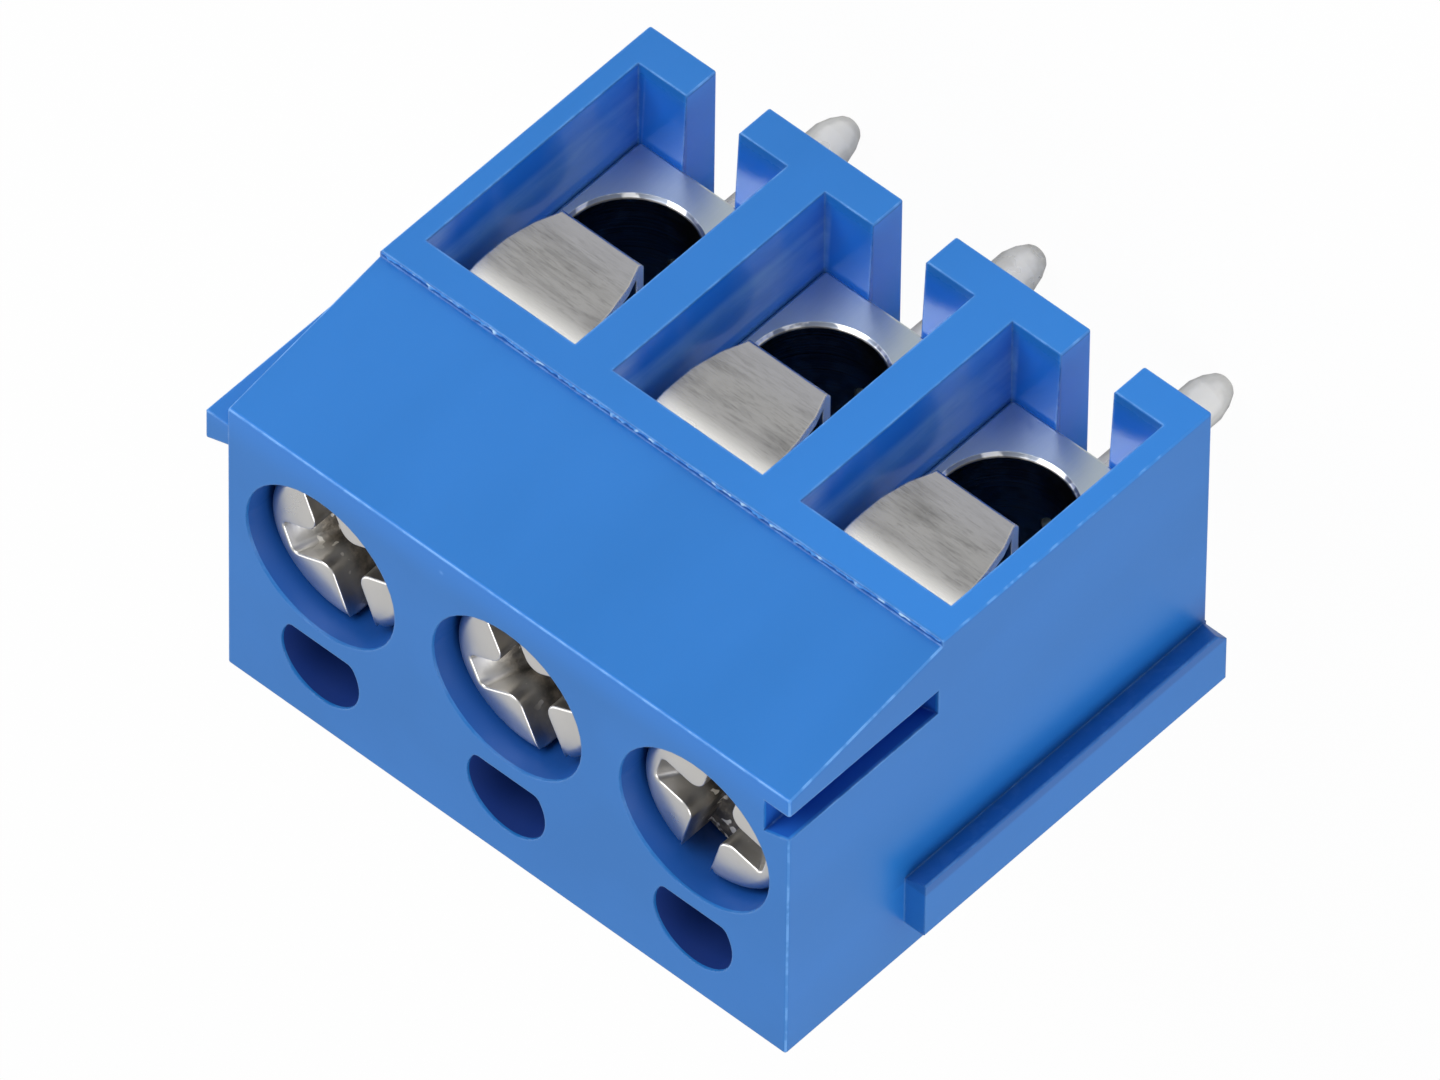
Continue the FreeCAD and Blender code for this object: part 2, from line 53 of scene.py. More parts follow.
camera.data.clip_start = 0.01
camera.data.clip_end = 10.0
camera.location = aim + towards * 716.45 * MM
camera.rotation_mode = "QUATERNION"
camera.rotation_quaternion = ((-towards).to_track_quat("-Z", "Y")
                              @ Quaternion((0, 0, 1), math.radians(-130.22)))
bpy.context.collection.objects.link(camera)
bpy.context.scene.camera = camera
bpy.context.scene.view_settings.view_transform = "Standard"


# Studio: a pale floor that the pins stand on, an even white surround and three large soft
# lamps. The surround lights the object less than it shows, so that colours keep their depth.
class Signal:
    """A socket in a finish's nodes. Arithmetic on it adds Math nodes to the same finish."""

    def __init__(self, tree, socket):
        self.tree = tree
        self.socket = socket

    def node(self, kind, settings, inputs, output=0):
        """Adds a node, sets it up, then sets or joins its inputs, and returns one output."""
        made = self.tree.nodes.new(kind)
        for name, value in settings.items():
            setattr(made, name, value)
        for name, value in inputs.items():
            if isinstance(value, Signal):
                self.tree.links.new(value.socket, made.inputs[name])
            else:
                made.inputs[name].default_value = value
        return Signal(self.tree, made.outputs[output])

    def maths(self, operation, *values):
        """The result of a Math node on these values."""
        return self.node("ShaderNodeMath", {"operation": operation}, dict(enumerate(values)))

    def __add__(self, other):
        return self.maths("ADD", self, other)

    def __radd__(self, other):
        return self.maths("ADD", other, self)

    def __sub__(self, other):
        return self.maths("SUBTRACT", self, other)

    def __rsub__(self, other):
        return self.maths("SUBTRACT", other, self)

    def __mul__(self, other):
        return self.maths("MULTIPLY", self, other)

    def __rmul__(self, other):
        return self.maths("MULTIPLY", other, self)

    def __pow__(self, other):
        return self.maths("POWER", self, other)

    def __abs__(self):
        return self.maths("ABSOLUTE", self)

    def between(self, low, high):
        """0 below low, 1 above high and a smooth step between them."""
        return self.node("ShaderNodeMapRange", {"interpolation_type": "SMOOTHSTEP"},
                         {"Value": self, "From Min": low, "From Max": high})

    def below(self, low, high):
        """1 below low, 0 above high and a smooth step between them."""
        return 1 - self.between(low, high)

    def beyond(self, low, high):
        """0 within low of zero and 1 further than high from it, on either side."""
        return (self * self).between(low ** 2, high ** 2)

    def blend(self, first, second):
        """A colour that goes from first to second as this signal goes from 0 to 1."""
        return self.node("ShaderNodeMix", {"data_type": "RGBA"},
                         {"Factor": self, 6: first, 7: second}, output=2)


def ray_kinds(tree):
    """Signals that are 1 for camera rays, for reflections and for light passed through."""
    path = tree.nodes.new("ShaderNodeLightPath")
    return [Signal(tree, path.outputs[name])
            for name in ("Is Camera Ray", "Is Glossy Ray", "Is Transmission Ray")]


def pale_floor():
    """White to the camera, pale grey to reflections and matt to light, to keep a shadow."""
    material = bpy.data.materials.new("pale_floor")
    material.use_nodes = True
    tree = material.node_tree
    tree.nodes.clear()
    seen, mirrored, passed = ray_kinds(tree)
    matt = seen.node("ShaderNodeBsdfDiffuse", {}, {"Color": (0.90, 0.90, 0.90, 1)})
    glow = seen.node("ShaderNodeEmission", {}, {"Strength": 1 - mirrored * 0.40})
    share = seen * 0.97 + mirrored + passed * 0.97
    mixed = seen.node("ShaderNodeMixShader", {}, {0: share, 1: matt, 2: glow})
    out = tree.nodes.new("ShaderNodeOutputMaterial")
    tree.links.new(mixed.socket, out.inputs["Surface"])
    return material


# The surround's strength is 0.28 as light on the object, 0.66 in its reflections, and 1 to
# the camera and through what is clear.
world = bpy.data.worlds.new("surround")
world.use_nodes = True
world.node_tree.nodes.clear()
seen, mirrored, passed = ray_kinds(world.node_tree)
sky = seen.node("ShaderNodeBackground", {}, {
    "Color": (1, 1, 1, 1), "Strength": 0.28 + seen * 0.72 + mirrored * 0.38 + passed * 0.72})
world_out = world.node_tree.nodes.new("ShaderNodeOutputWorld")
world.node_tree.links.new(sky.socket, world_out.inputs["Surface"])
bpy.context.scene.world = world

FLOOR_HALF, FLOOR_LEVEL = 2.0, -3.305 * MM
floor_mesh = bpy.data.meshes.new("floor")
floor_mesh.from_pydata([(x * FLOOR_HALF, y * FLOOR_HALF, FLOOR_LEVEL)
                        for x, y in ((-1, -1), (1, -1), (1, 1), (-1, 1))], [], [(0, 1, 2, 3)])
floor_mesh.materials.append(pale_floor())
floor = bpy.data.objects.new("floor", floor_mesh)
bpy.context.collection.objects.link(floor)


def soft_lamp(name, direction, distance, size, level):
    """A square lamp facing the object's middle. Its power gives that level there: a level of
    1 shows a matt colour as it is written, and takes pi squared times the distance squared."""
    lamp = bpy.data.objects.new(name, bpy.data.lights.new(name, "AREA"))
    lamp.data.shape = "SQUARE"
    lamp.data.size = size
    lamp.data.energy = level * (math.pi * distance) ** 2
    away = Vector(direction).normalized()
    lamp.location = Vector((0, 0, 6 * MM)) + away * distance
    lamp.rotation_mode = "QUATERNION"
    lamp.rotation_quaternion = (-away).to_track_quat("-Z", "Y")
    bpy.context.collection.objects.link(lamp)


soft_lamp("front_lamp", (0.25, -0.80, 0.54), 0.20, 0.14, 0.68)
soft_lamp("far_lamp", (0.72, 0.30, 0.63), 0.22, 0.15, 0.24)
soft_lamp("near_lamp", (-0.85, 0.12, 0.36), 0.20, 0.14, 0.50)


# Housing: one moulding in glossy blue plastic, with wire openings, screw holes, blind
# pockets, an undercut rail and a rib. Its edges are paler, partly wear and partly painted
# highlight, and have small nicks. Some of its faces carry painted light and shade.
PITCH, SCREW_Y = 5.0, -0.15  # of the poles along X and of their screws' axes, in millimetres
FRONT, BACK, END, TOP = -4.0, 4.8, 7.5, 12.5  # the box's outer faces
STEP, LEAN = 8.0, 0.178  # the step over the openings, and the slope above it for each mm up


def start_finish(name):
    """A new material, and the object coordinates that its patterns are worked out from."""
    material = bpy.data.materials.new(name)
    material.use_nodes = True
    tree = material.node_tree
    tree.nodes.clear()
    place = tree.nodes.new("ShaderNodeTexCoord")
    return material, Signal(tree, place.outputs["Object"])


def noise(place, scale, detail=2.0, stretch=(1, 1, 1), roughness=0.5):
    """Soft noise, from 0 to 1; scale is in grains per metre and stretch squeezes each axis."""
    squeezed = place.node("ShaderNodeMapping", {}, {"Vector": place, "Scale": stretch})
    return place.node("ShaderNodeTexNoise", {}, {
        "Vector": squeezed, "Scale": scale, "Detail": detail, "Roughness": roughness})


def axes(vector):
    """The three parts of a vector as signals."""
    return [vector.node("ShaderNodeSeparateXYZ", {}, {0: vector}, output=i) for i in range(3)]


def in_millimetres(place):
    """The three object coordinates in millimetres."""
    return [part * (1 / MM) for part in axes(place)]


def from_pole(x):
    """How far along X from the axis of the nearest pole, in millimetres."""
    return x.node("ShaderNodeMath", {"operation": "WRAP"}, {0: x, 1: PITCH / 2, 2: -PITCH / 2})


def true_normal(place):
    """The surface's own direction, not rounded at edges."""
    return place.node("ShaderNodeNewGeometry", {}, {}, output=1)


def rounded_normal(place, radius):
    """The surface's direction, turned a little near its sharp edges."""
    return place.node("ShaderNodeBevel", {"samples": 6}, {"Radius": radius})


def edge_closeness(place, radius):
    """1 on sharp edges, 0 on flat faces: how far a rounded direction leaves the true one."""
    return 1 - place.node("ShaderNodeVectorMath", {"operation": "DOT_PRODUCT"},
                          {0: rounded_normal(place, radius), 1: true_normal(place)}, output=1)


def finish(material, place, height, depth, normal, inputs):
    """Joins the shader, with height as a bump of that depth on the given direction."""
    bumped = place.node("ShaderNodeBump", {}, {
        "Height": height, "Distance": depth, "Normal": normal})
    shader = place.node("ShaderNodeBsdfPrincipled", {}, dict(inputs, Normal=bumped))
    out = place.tree.nodes.new("ShaderNodeOutputMaterial")
    place.tree.links.new(shader.socket, out.inputs["Surface"])
    return material


def outer_faces(x, y, z):
    """1 on the housing's outer faces and 0 on the walls of its openings and holes."""
    front, back = y.below(FRONT + 0.04, FRONT + 0.07), y.between(BACK - 0.10, BACK - 0.05)
    top, underside = z.between(TOP - 0.08, TOP - 0.05), z.below(0.85, 0.95)
    ends = x.beyond(END - 0.10, END - 0.06)
    sloped = ((z - STEP) * LEAN - y).between(3.78, 3.81) * z.between(STEP - 0.10, STEP - 0.05)
    return (front + top + ends + back + sloped + underside).between(0.1, 0.5)


def edge_wear_and_highlights(place, x, y, z, outside, turned, ragged):
    """How pale the plastic's edges are, partly wear and partly painted highlight: on ragged
    edges and on outer corners that are rounded, but little round the holes on top, along the
    near end's edge and on the rail. The sum of the direction's fourth powers is 1 on faces
    square to an axis and less between them."""
    squares = [part * part for part in turned]
    fourths = [part * part for part in squares]
    rounded = (1 - (fourths[0] + fourths[1] + fourths[2])).between(0.12, 0.30) * outside
    edges = (edge_closeness(place, 0.10 * MM).between(0.02, 0.12) + rounded).between(0.0, 1.0)
    rims = (z.between(TOP - 0.3, TOP - 0.2) * y.between(-2.5, -2.4)
            * y.below(BACK - 0.4, BACK - 0.3) * (1 - x.beyond(END - 0.3, END - 0.2)))
    end_edge = (z.below(STEP - 0.1, STEP) * x.below(-END + 0.10, -END + 0.15)
                * (1 - ragged.between(0.52, 0.60) * 0.7))
    rail = x.below(-END + 0.08, -END + 0.10) * y.between(1.9, 2.0) * z.below(9.4, 9.5)
    return (edges * (0.30 + ragged.between(0.42, 0.60) * 0.50)
            * (1 - rims * 0.8) * (1 - end_edge * 0.75) * (1 - rail * 0.75))


def outer_tone(x, y, z, flow):
    """The blue of the outer faces, with painted light: a painted highlight beside the slope
    and on the frame's front towards the near end, and painted shade beside the rail."""
    tone = flow.between(0.30, 0.70).blend((0.0135, 0.176, 0.560, 1), (0.0175, 0.192, 0.610, 1))
    # Painted highlight along the top face beside the slope.
    slope_highlight = z.between(TOP - 0.08, TOP - 0.05) * y.below(-2.95, -2.0)
    tone = (slope_highlight * 0.8).blend(tone, (0.017, 0.215, 0.72, 1))
    # Painted shade on the end face in front of the rail.
    rail_shade = (x.below(-END + 0.06, -END + 0.10) * y.between(1.0, 2.45) * y.below(2.50, 2.60)
               * z.below(8.8, 9.6))
    tone = (rail_shade * 0.55).blend(tone, (0.008, 0.085, 0.35, 1))
    # Painted highlight on the frame's front, stronger towards the near end.
    frame_front_highlight = z.below(STEP - 0.1, STEP) * y.below(FRONT + 0.04, FRONT + 0.07)
    return (frame_front_highlight * x.below(-END, PITCH)).blend(tone, (0.020, 0.222, 0.70, 1))


def inner_tone(place, x, y, z, turned, shaft, groove):
    """The blue of the walls inside, with painted shade deep in the screw holes, pockets and
    grooves, and painted pale reflections in streaks on the walls beside the guards."""
    # Painted shade: darker down the screw holes, and darker still in the blind pockets behind.
    sunk = z.below(10.8, 12.6).blend((0.007, 0.095, 0.41, 1), (0.004, 0.034, 0.18, 1))
    sunk = (shaft * y.between(1.9, 2.1)).blend(sunk, (0.011, 0.040, 0.22, 1))
    # Painted pale reflections, in streaks, on the walls beside the guards.
    reflection_streaks = noise(place, 1500.0, 4.0, (1.0, 1.6, 0.3), 0.6).between(0.30, 0.65)
    reflection_zone = (y.between(-3.4, -3.1) * (0.55 - y.between(-2.9, -2.5) * 0.35)
              + z.between(6.2, 6.9) * 0.7 + z.below(3.0, 4.0) * 0.28)
    rail_groove = x.between(6.80, 6.84) * turned[0].between(-0.6, -0.4)
    beside = from_pole(x).beyond(1.75, 1.85) * (1 - rail_groove)
    wall = (reflection_zone * beside * (0.50 + reflection_streaks * 0.50)).blend((0.020, 0.190, 0.74, 1),
                                                           (0.20, 0.46, 0.92, 1))
    # Painted shade: the grooves are a deeper blue.
    return shaft.blend(groove.blend(wall, (0.012, 0.115, 0.50, 1)), sunk)


def nicks(place):
    """1 on small round nicks, each in the middle of one of a few cells of a pattern."""
    middle, cell = [place.node("ShaderNodeTexVoronoi", {}, {"Vector": place, "Scale": 800.0},
                               output=i) for i in (0, 2)]
    chance = place.node("ShaderNodeTexWhiteNoise", {}, {0: cell})
    return middle.below(0.0, 0.07) * chance.between(0.86, 0.87)


def blue_plastic():
    """Blue plastic with faint flow streaks, paler ragged edges that are partly wear and partly
    painted highlight, smooth walls inside, and painted light and shade in places.
    """
    material, place = start_finish("blue_plastic")
    x, y, z = in_millimetres(place)
    turned = axes(true_normal(place))
    flow = noise(place, 260.0, 3.0, (1.0, 1.0, 0.35))
    grain = noise(place, 9000.0, 2.0)
    ragged = noise(place, 2600.0, 3.0)
    outside = outer_faces(x, y, z)
    beside_screws = x.beyond(6.7, 6.8) * (y - SCREW_Y).beyond(1.1, 1.2)
    shaft = z.between(STEP - 0.4, STEP - 0.2) * (1 - beside_screws)
    groove = (1 - shaft) * z.between(STEP - 0.1, STEP)
    tone = outside.blend(inner_tone(place, x, y, z, turned, shaft, groove),
                         outer_tone(x, y, z, flow))
    # Painted light: the walls of the pin slots are paler.
    pin_slot_light = (z.below(0.85, 0.95) * (1 - from_pole(x).beyond(0.75, 0.80))
                * y.between(FRONT + 0.05, FRONT + 0.10) * y.below(BACK - 0.10, BACK - 0.05))
    tone = pin_slot_light.blend(tone, (0.024, 0.27, 0.86, 1))
    # Painted shade: a dark line on the small riser under the step's edge.
    riser_shade = (z.between(STEP - 0.02, STEP) * z.below(STEP + 0.01, STEP + 0.05)
             * y.below(FRONT + 0.14, FRONT + 0.20))
    tone = (riser_shade * 0.8).blend(tone, (0.008, 0.095, 0.42, 1))
    wear_and_highlight = edge_wear_and_highlights(place, x, y, z, outside, turned, ragged)
    # Pale edges, partly wear and partly painted highlight, and pale nicks.
    colour = (wear_and_highlight * 0.85 + nicks(place) * 0.6).blend(tone, (0.20, 0.48, 0.98, 1))
    rough = (0.13 + outside * 0.15 + (shaft + groove) * (1 - outside) * 0.25
             + grain * 0.05 + flow * 0.05)
    height = grain + flow * 2.0
    return finish(material, place, height, 0.5e-6, rounded_normal(place, 0.05 * MM),
                  {"Base Color": colour, "Roughness": rough, "IOR": 1.5,
                   "Specular IOR Level": 0.45})


def dress(node, material):
    """Gives a carried-over solid its finish."""
    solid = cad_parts[node]
    if not solid.material_slots:
        solid.data.materials.append(material)
    for used in solid.material_slots:
        used.material = material


dress("housing", blue_plastic())


# Flash: a thin ragged fin of the same plastic along the step over the wire openings, where
# the two halves of the mould met.
def weave(name, sheets, sharp=40.0):
    """Grids of points (rows, columns, xyz in millimetres) as one closed mesh. Each four
    neighbouring points make a face. Doubles are merged, faces turned outwards, and edges
    sharper than the limit stay crisp."""
    points, faces, start = [], [], 0
    for sheet in sheets:
        rows, columns = sheet.shape[:2]
        index = start + np.arange(rows * columns).reshape(rows, columns)
        near, far = index[:-1], index[1:]
        corners = np.stack([near[:, :-1], near[:, 1:], far[:, 1:], far[:, :-1]], -1)
        points.append(sheet.reshape(-1, 3) * MM)
        faces.append(corners.reshape(-1, 4))
        start += rows * columns
    mesh = bpy.data.meshes.new(name)
    mesh.from_pydata(np.concatenate(points).tolist(), [], np.concatenate(faces).tolist())
    shape = bmesh.new()
    shape.from_mesh(mesh)
    bmesh.ops.remove_doubles(shape, verts=shape.verts, dist=1e-3 * MM)
    bmesh.ops.dissolve_degenerate(shape, edges=shape.edges, dist=1e-4 * MM)
    bmesh.ops.recalc_face_normals(shape, faces=shape.faces)
    limit = math.radians(sharp)
    for edge in shape.edges:
        edge.smooth = len(edge.link_faces) == 2 and edge.calc_face_angle() < limit
    for face in shape.faces:
        face.smooth = True
    shape.to_mesh(mesh)
    shape.free()
    piece = bpy.data.objects.new(name, mesh)
    bpy.context.collection.objects.link(piece)
    return piece


def ripple(x, seed, waves):
    """Smooth unrest from 0 to 1: sines of random pace and start, added up."""
    chance = np.random.default_rng(seed)
    pace = chance.uniform(*waves, 12)[:, None]
    start = chance.uniform(0, 2 * math.pi, 12)[:, None]
    return 0.5 + 0.5 * np.clip(np.sin(pace * x + start).sum(0) / 5.0, -1, 1)


def flash_line():
    """A fin along X at the step's edge. Its section is a thin wedge on the edge, given as y,
    height and whether the point is on the fin's top. Its height is unrest squared, so that
    it comes and goes, and its top leans by a slower unrest."""
    x = np.linspace(-END + 0.06, END - 0.06, 1200)
    fade = 0.2 + 0.8 * ripple(x, 9, (0.3, 2.0))
    tall = 0.012 + 0.10 * ripple(x, 5, (3.0, 40.0)) ** 2 * fade
    lean = 0.02 * ripple(x, 7, (3.0, 12.0))
    foot_front, foot_back = (-3.985, -0.02, 0), (-3.94, -0.02, 0)
    section = [foot_front, (-3.995, 1.0, 1), (-3.965, 1.0, 1), foot_back, foot_front]
    rows = [np.stack([x, y + lean * top, STEP + np.where(top, tall * rise, rise)], -1)
            for y, rise, top in section]
    grid = np.stack(rows, 0)
    ends = [np.stack([grid[:, i], np.broadcast_to(grid[:, i].mean(0), grid[:, i].shape)], 0)
            for i in (0, -1)]
    return weave("step_flash", [grid] + ends)


def flash_plastic():
    """The same blue, with pale specks of painted highlight at random along it."""
    material, place = start_finish("flash_plastic")
    mottle_and_glints = noise(place, 3000.0, 2.0)
    # Painted highlight: pale glints in specks along the fin.
    tone = mottle_and_glints.between(0.50, 0.66).blend((0.05, 0.27, 0.74, 1), (0.50, 0.76, 1.0, 1))
    return finish(material, place, mottle_and_glints, 1e-6, rounded_normal(place, 0.01 * MM),
                  {"Base Color": tone, "Roughness": 0.3 + mottle_and_glints * 0.1})


flash = flash_line()
flash.data.materials.append(flash_plastic())
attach(flash, "base")


# Contact blocks: machined blocks, drilled through for the wire and plated with nickel. The
# drill left rings along the hole. The hole's wall is painted dark as shade, and its rim has
# painted ragged highlights and shade.
POLES = (("left", -PITCH), ("middle", 0.0), ("right", PITCH))
WIRE_Z = 3.35


def nickel_plate():
    """Cool grey plate with a fine grain, rings along the wire hole's wall, painted shade on
    that wall and painted ragged highlights and shade round its rim.
    """
    material, place = start_finish("nickel_plate")
    x, _, z = in_millimetres(place)
    across, up = from_pole(x), z - WIRE_Z
    radius = (across * across + up * up) ** 0.5
    hole = radius.below(1.51, 1.54)
    rings = noise(place, 1000.0, 4.0, (0.05, 14.0, 0.05), 0.7)
    cloud = noise(place, 500.0, 2.0)
    grain = noise(place, 9000.0, 2.0)
    scratch = noise(place, 1500.0, 3.0, (14.0, 1.0, 1.0))
    tone = (cloud * 0.6 + scratch * 0.4).blend((0.60, 0.69, 0.73, 1), (0.76, 0.83, 0.84, 1))
    ragged = noise(place, 1800.0, 3.0)
    # Painted light on the hole's rim: ragged bright highlights among dark shade.
    painted_edge_light = ragged.between(0.47, 0.55).blend((0.24, 0.27, 0.33, 1), (0.95, 0.95, 0.94, 1))
    tone = radius.below(1.58, 1.60).blend(tone, painted_edge_light)
    # Painted shade: the wire hole's wall is nearly black.
    colour = (hole * 0.92).blend(tone, (0.09, 0.085, 0.08, 1))
    rough = 0.30 + cloud * 0.08 - hole * 0.08
    height = grain * 0.5 + hole * rings * 14.0
    return finish(material, place, height, 1.0e-6, rounded_normal(place, 0.02 * MM),
                  {"Base Color": colour, "Roughness": rough, "Metallic": 1.0})


plate = nickel_plate()
for side, _ in POLES:
    dress("contact_block_" + side, plate)


# Solder pins: round pins, pressed into the blocks from below, with a pale and slightly
# milky tin coat.
def tin_coat():
    """Pale tin, partly matt, with painted highlights in bright streaks along front and back
    and painted shade on greyer flanks. Up in the housing, where the pin is hidden, it is
    painted dark as shade."""
    material, place = start_finish("tin_coat")
    cloud = noise(place, 1500.0, 3.0)
    grain = noise(place, 8000.0, 2.0)
    x, y, z = in_millimetres(place)
    # Painted light by place: a bright highlight streak front and back, and greyer shaded
    # flanks.
    ahead = abs(from_pole(x) * 0.48 + y * 0.88 - (cloud - 0.5) * 0.35)
    tone = ahead.between(0.05, 0.36).blend((0.36, 0.355, 0.34, 1), (0.74, 0.73, 0.70, 1))
    tone = ahead.between(0.36, 0.47).blend(tone, (0.94, 0.925, 0.89, 1))
    # Painted shade up in the housing.
    tone = z.between(1.2, 1.4).blend(tone, (0.02, 0.02, 0.02, 1))
    return finish(material, place, grain + cloud * 8.0, 4e-6, rounded_normal(place, 0.03 * MM),
                  {"Base Color": tone, "Roughness": 0.22 + cloud * 0.14, "Metallic": 0.40})


tin = tin_coat()
for side, _ in POLES:
    dress("solder_pin_" + side, tin)


# Wire guards: bent from rolled steel strip, whose fine scratches run along X. Their edges
# were sheared and carry painted highlights. Each hangs on its screw and goes down with it.
def rolled_strip():
    """Grey steel with dark scratches across the strip and dark patches of painted reflection,
    most of them between the bend and the lip's top, which has a painted bright highlight. It
    is a touch paler and bluer low down, and its sheared faces and edges have painted
    highlights."""
    material, place = start_finish("rolled_strip")
    z = in_millimetres(place)[2]
    sheared = abs(axes(true_normal(place))[0]).between(0.5, 0.8)
    fine = noise(place, 2600.0, 4.0, (1.0, 5.0, 9.0), 0.7)
    streaks = noise(place, 900.0, 4.0, (1.0, 5.0, 9.0), 0.65)
    patches = noise(place, 620.0, 3.0, (1.0, 1.6, 1.8))
    # The band between the bend and the lip's top, where dark reflection is painted.
    middle = z.between(4.2, 5.0) * z.below(5.9, 6.6)
    mark = streaks.between(0.45, 0.66) * 0.30 + fine.between(0.50, 0.66) * 0.35
    # Scratches, darkened with painted reflection in that band, and patches of painted
    # reflection.
    scratches_and_reflection = mark * (0.25 + middle * 0.60) + patches.between(0.45, 0.72) * middle * 0.40
    tone = z.below(4.4, 5.4).blend((0.57, 0.565, 0.555, 1), (0.60, 0.60, 0.62, 1))
    tone = scratches_and_reflection.blend(tone, (0.20, 0.198, 0.195, 1))
    # Painted highlight: a bright band at the lip's top.
    tone = z.between(5.95, 6.55).blend(tone, (1.0, 0.985, 0.95, 1))
    # Painted highlight on the sheared faces and along the sharp edges.
    painted_edge_light = edge_closeness(place, 0.08 * MM).between(0.01, 0.08)
    tone = (sheared + painted_edge_light * 0.7).between(0.0, 1.0).blend(tone, (1.0, 0.95, 0.86, 1))
    return finish(material, place, streaks + fine, 1.2e-6, rounded_normal(place, 0.05 * MM),
                  {"Base Color": tone, "Roughness": 0.22 + patches * 0.08 + sheared * 0.1,
                   "Metallic": 1.0 - sheared * 0.9})


strip = rolled_strip()
for side, _ in POLES:
    dress("wire_guard_" + side, strip)


# Clamp screws: turned, with a rolled thread, and plated. The head is two pads that stand
# either side of the driver slot, each with a notch for a cross driver. Every screw was left
# at its own angle.
HEAD, HEAD_TOP, SLOT_FLOOR = 1.9, 12.0, 11.05
HEAD_TURNS = {"left": 76.0, "middle": 116.0, "right": 113.0}


def slot_floor(r):
    """Height of the slot's floor at a radius: a shallow dish, level at the rim."""
    return SLOT_FLOOR - 0.30 * (1 - np.clip(r / 1.5, 0, 1) ** 2)


def turned_body():
    """A profile of radius against height, turned round the axis. Along the shank the radius
    also falls and rises once a pitch, and a full turn shifts it by a pitch, which is the
    thread: M3 by 0.5 mm, with flat crests and rounded roots."""
    spokes, pitch, low, high = 85, 0.5, 4.38, 9.75
    radius, thread_depth, tip_radius = 1.45, 0.27, 1.06
    angle = np.linspace(0, 2 * math.pi, spokes)
    z = np.linspace(low, high, 160)[:, None]
    phase = (z / pitch - angle[None, :] / (2 * math.pi)) % 1.0
    groove = np.clip(1.25 - np.abs(phase - 0.5) * 4.0, 0, 1)
    groove = groove * groove * (3 - 2 * groove)
    fade = np.clip((z - low) / 0.35, 0, 1) * np.clip((high - 0.25 - z) / 0.35, 0, 1)
    tip = np.clip((z - low) / 0.4, 0, 1)
    shank = np.minimum(radius - thread_depth * groove * fade,
                       tip_radius + (radius - tip_radius) * tip)
    r_head = np.array([radius, 1.78, 1.87, HEAD, HEAD, HEAD])
    z_head = np.array([10.0, 10.0, 10.03, 10.12, 10.6, SLOT_FLOOR])
    r_dish = HEAD * np.linspace(1, 0, 14)[1:]
    r_dish[-1] = 0.0
    rows = [(np.zeros(spokes), np.full(spokes, low))]
    rows += [(shank[i], np.full(spokes, z[i, 0])) for i in range(len(z))]
    rows += [(np.full(spokes, r), np.full(spokes, h)) for r, h in zip(r_head, z_head)]
    rows += [(np.full(spokes, r), np.full(spokes, slot_floor(r))) for r in r_dish]
    return np.stack([np.stack([r * np.cos(angle), r * np.sin(angle), h], -1)
                     for r, h in rows], 0)


def arc(centre, radius, start, end, count):
    """Points round a centre, the last one left out."""
    a = np.radians(start) + np.radians(end - start) * np.arange(count) / count
    return np.stack([centre[0] + radius * np.cos(a), centre[1] + radius * np.sin(a)], -1)


def line(first, last, count):
    """Points from one place to another, the last one left out."""
    step = (np.arange(count) / count)[:, None]
    return np.array(first) + (np.array(last) - np.array(first)) * step


def pad_outline(outer, inner, reach):
    """The pad seen from above at one level. It is bounded by a circle pulled in by outer and
    by the slot and notch widened by inner; the notch ends at reach. Returned as the inner
    side and, at the same angles round the axis, the outer side, from tip to tip."""
    rim, edge, tip = HEAD - outer, 0.39 + inner, 0.10
    turn, nook = 0.34 - inner, 0.16 + inner
    centre = math.sqrt((rim - tip) ** 2 - (edge + tip) ** 2)
    touch = math.degrees(math.asin(tip / math.hypot(centre, edge + tip)))
    lean = math.degrees(math.atan2(edge + tip, centre))
    half = np.concatenate([
        arc((centre, edge + tip), tip, lean - touch - 90 + 360, 270, 7),
        line((centre, edge), (edge + turn, edge), 9),
        arc((edge + turn, edge + turn), turn, 270, 180, 9),
        line((edge, edge + turn), (edge, reach - nook), 6),
        arc((edge - nook, reach - nook), nook, 0, 90, 7),
        line((edge - nook, reach), (0, reach), 4),
        [(0.0, reach)]])
    side = np.concatenate([half, (half * [-1, 1])[-2::-1]])
    angle = np.arctan2(side[:, 1], side[:, 0])
    bearing = np.minimum(angle, math.pi - angle) - math.radians(lean)
    away = math.hypot(centre, edge + tip)
    chord = np.sqrt(np.maximum(tip ** 2 - (away * np.sin(bearing)) ** 2, 0))
    far = np.where(bearing < 0, away * np.cos(bearing) + chord, rim)
    return side, np.stack([far * np.cos(angle), far * np.sin(angle)], -1)


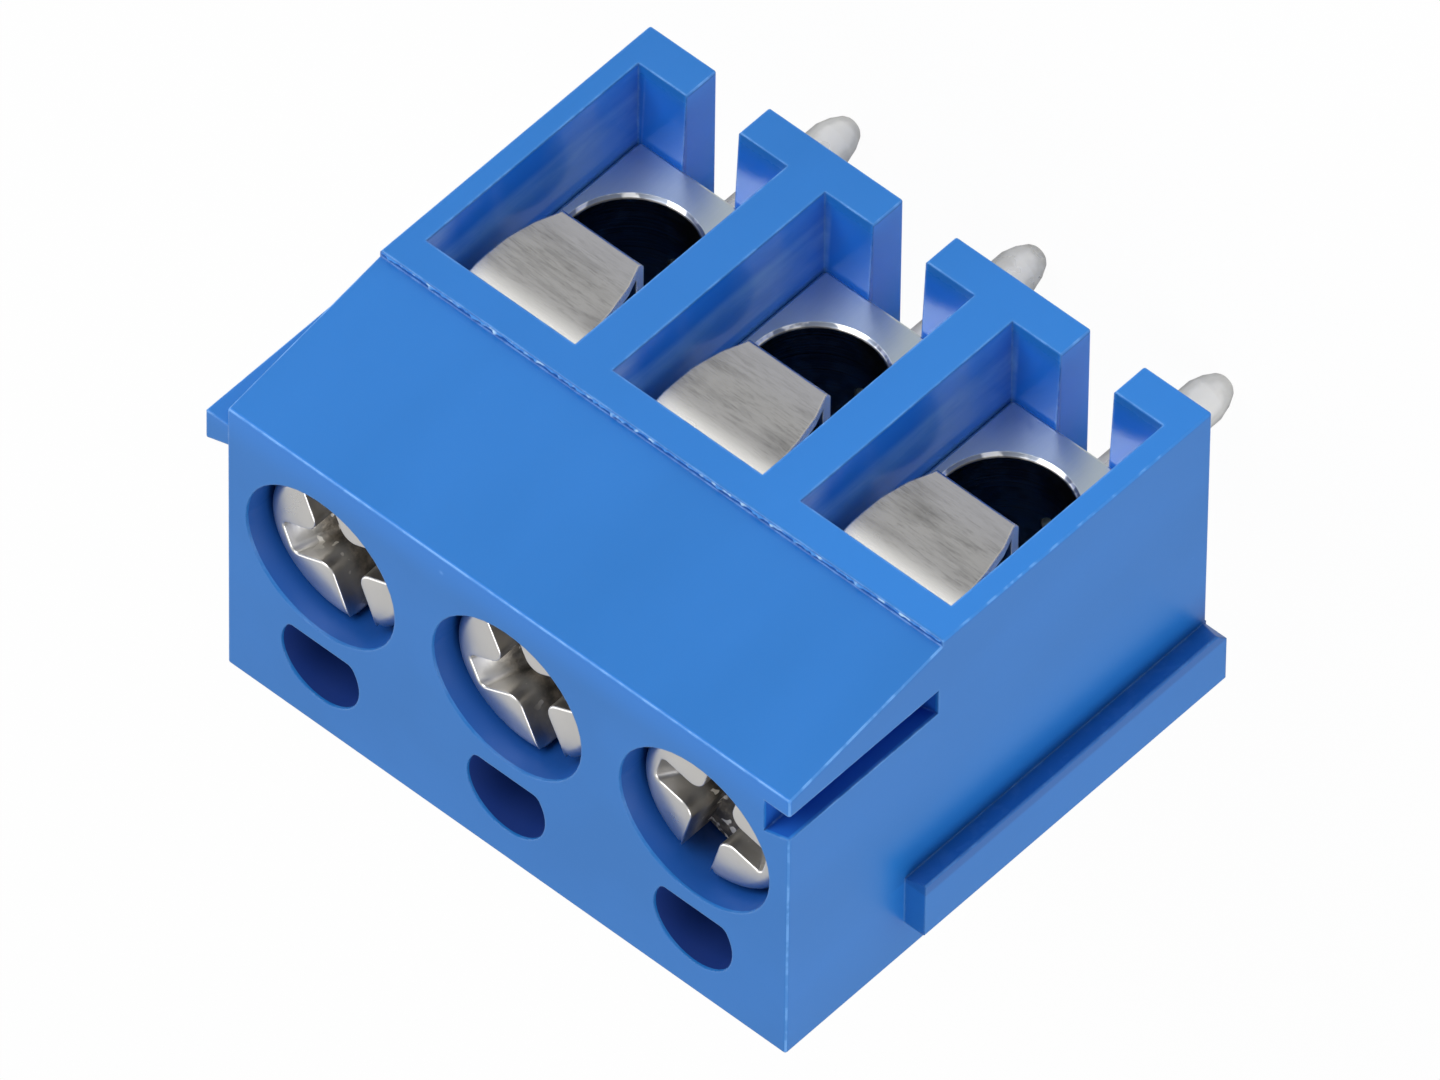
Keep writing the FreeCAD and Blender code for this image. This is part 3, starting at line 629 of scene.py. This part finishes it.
def screw_pad():
    """One pad: its outline lofted upwards. The walls rise straight, except that the notch's
    end leans back, then the edges turn over in quarter rounds, wide at the rim and narrow at
    the slot, and a flat face joins them."""
    soft_rim, soft_edge = 0.30, 0.045
    notch_foot, notch_reach, notch_lean = SLOT_FLOOR - 0.30, 0.80, 0.68
    levels = [(SLOT_FLOOR - 0.35, 0.0), (SLOT_FLOOR, 0.0), (SLOT_FLOOR + 0.30, 0.0)]
    levels += [(None, a) for a in np.radians(np.linspace(0, 90, 9))]
    rings = []
    for height, a in levels:
        level = HEAD_TOP - soft_edge if height is None else height
        up = np.clip((level - notch_foot) / (HEAD_TOP - notch_foot), 0, 1)
        reach = notch_reach + notch_lean * up
        sunk = 1 - math.cos(a)
        side, far = pad_outline(soft_rim * sunk, soft_edge * sunk, reach + soft_edge * sunk)
        if height is None:
            drop = 1 - math.sin(a)
            side_z = np.full(len(side), HEAD_TOP - soft_edge * drop)
            far_z = np.full(len(far), HEAD_TOP - soft_rim * drop)
            tips = np.minimum(np.arange(len(side)), np.arange(len(side))[::-1]) / 6.0
            blend = np.clip(tips, 0, 1)
            middle = HEAD_TOP - 0.5 * (soft_rim + soft_edge) * drop
            side_z = middle + (side_z - middle) * blend
            far_z = middle + (far_z - middle) * blend
        else:
            side_z = np.full(len(side), float(height))
            far_z = np.full(len(far), max(float(height), SLOT_FLOOR))
            ends = [0, -1]
            side_z[ends] = far_z[ends] = max(float(height), SLOT_FLOOR - 0.02)
        rings.append((np.column_stack([side, side_z]), np.column_stack([far, far_z])))
    ring = np.stack([np.concatenate([side, far[::-1]]) for side, far in rings], 0)
    side, far = rings[-1]
    cap = np.stack([side + (far - side) * t for t in (0.0, 0.5, 1.0)], 0)
    side, far = rings[0]
    base = np.stack([far, side], 0)
    return [ring, cap, base]


def clamp_screw(side, x):
    """The turned body and its two pads, turned and set on the pole's axis."""
    pad = screw_pad()
    sheets = [turned_body()] + pad + [sheet * [-1, -1, 1] for sheet in pad]
    angle = math.radians(HEAD_TURNS[side])
    c, s = math.cos(angle), math.sin(angle)
    turn = np.array([[c, s, 0], [-s, c, 0], [0, 0, 1]])
    sheets = [sheet @ turn + [x, SCREW_Y, 0] for sheet in sheets]
    return weave("screw_" + side, sheets, sharp=35.0)


def plated_screw():
    """Warm grey plated steel, stained brown down in the slot, with a few bright specks of
    painted glint.
    """
    material, place = start_finish("plated_screw")
    z = in_millimetres(place)[2]
    cloud = noise(place, 900.0, 3.0)
    grain = noise(place, 7000.0, 3.0)
    blotch = noise(place, 2300.0, 4.0, (1, 1, 1), 0.6)
    in_slot = z.below(11.2, 11.85)
    slot_stain = in_slot * z.between(10.3, 10.6)
    tone = cloud.blend((0.66, 0.645, 0.62, 1), (0.76, 0.745, 0.71, 1))
    stain = blotch.between(0.35, 0.80).blend((0.05, 0.045, 0.038, 1), (0.42, 0.36, 0.28, 1))
    # Painted highlight: small bright glints among the stain.
    painted_glints = noise(place, 4200.0, 1.0).between(0.66, 0.70)
    colour = (slot_stain * 0.95).blend(tone, painted_glints.blend(stain, (1.0, 0.95, 0.85, 1)))
    height = grain + in_slot * blotch * 26.0
    return finish(material, place, height, 1.5e-6, rounded_normal(place, 0.015 * MM),
                  {"Base Color": colour, "Roughness": 0.24 + cloud * 0.1 + in_slot * 0.1,
                   "Metallic": 1.0 - slot_stain * 0.6})


screw_plate = plated_screw()
for side, x in POLES:
    screw = clamp_screw(side, x)
    screw.data.materials.append(screw_plate)
    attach(screw, "screw_" + side)
    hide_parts("clamp_screw_" + side)
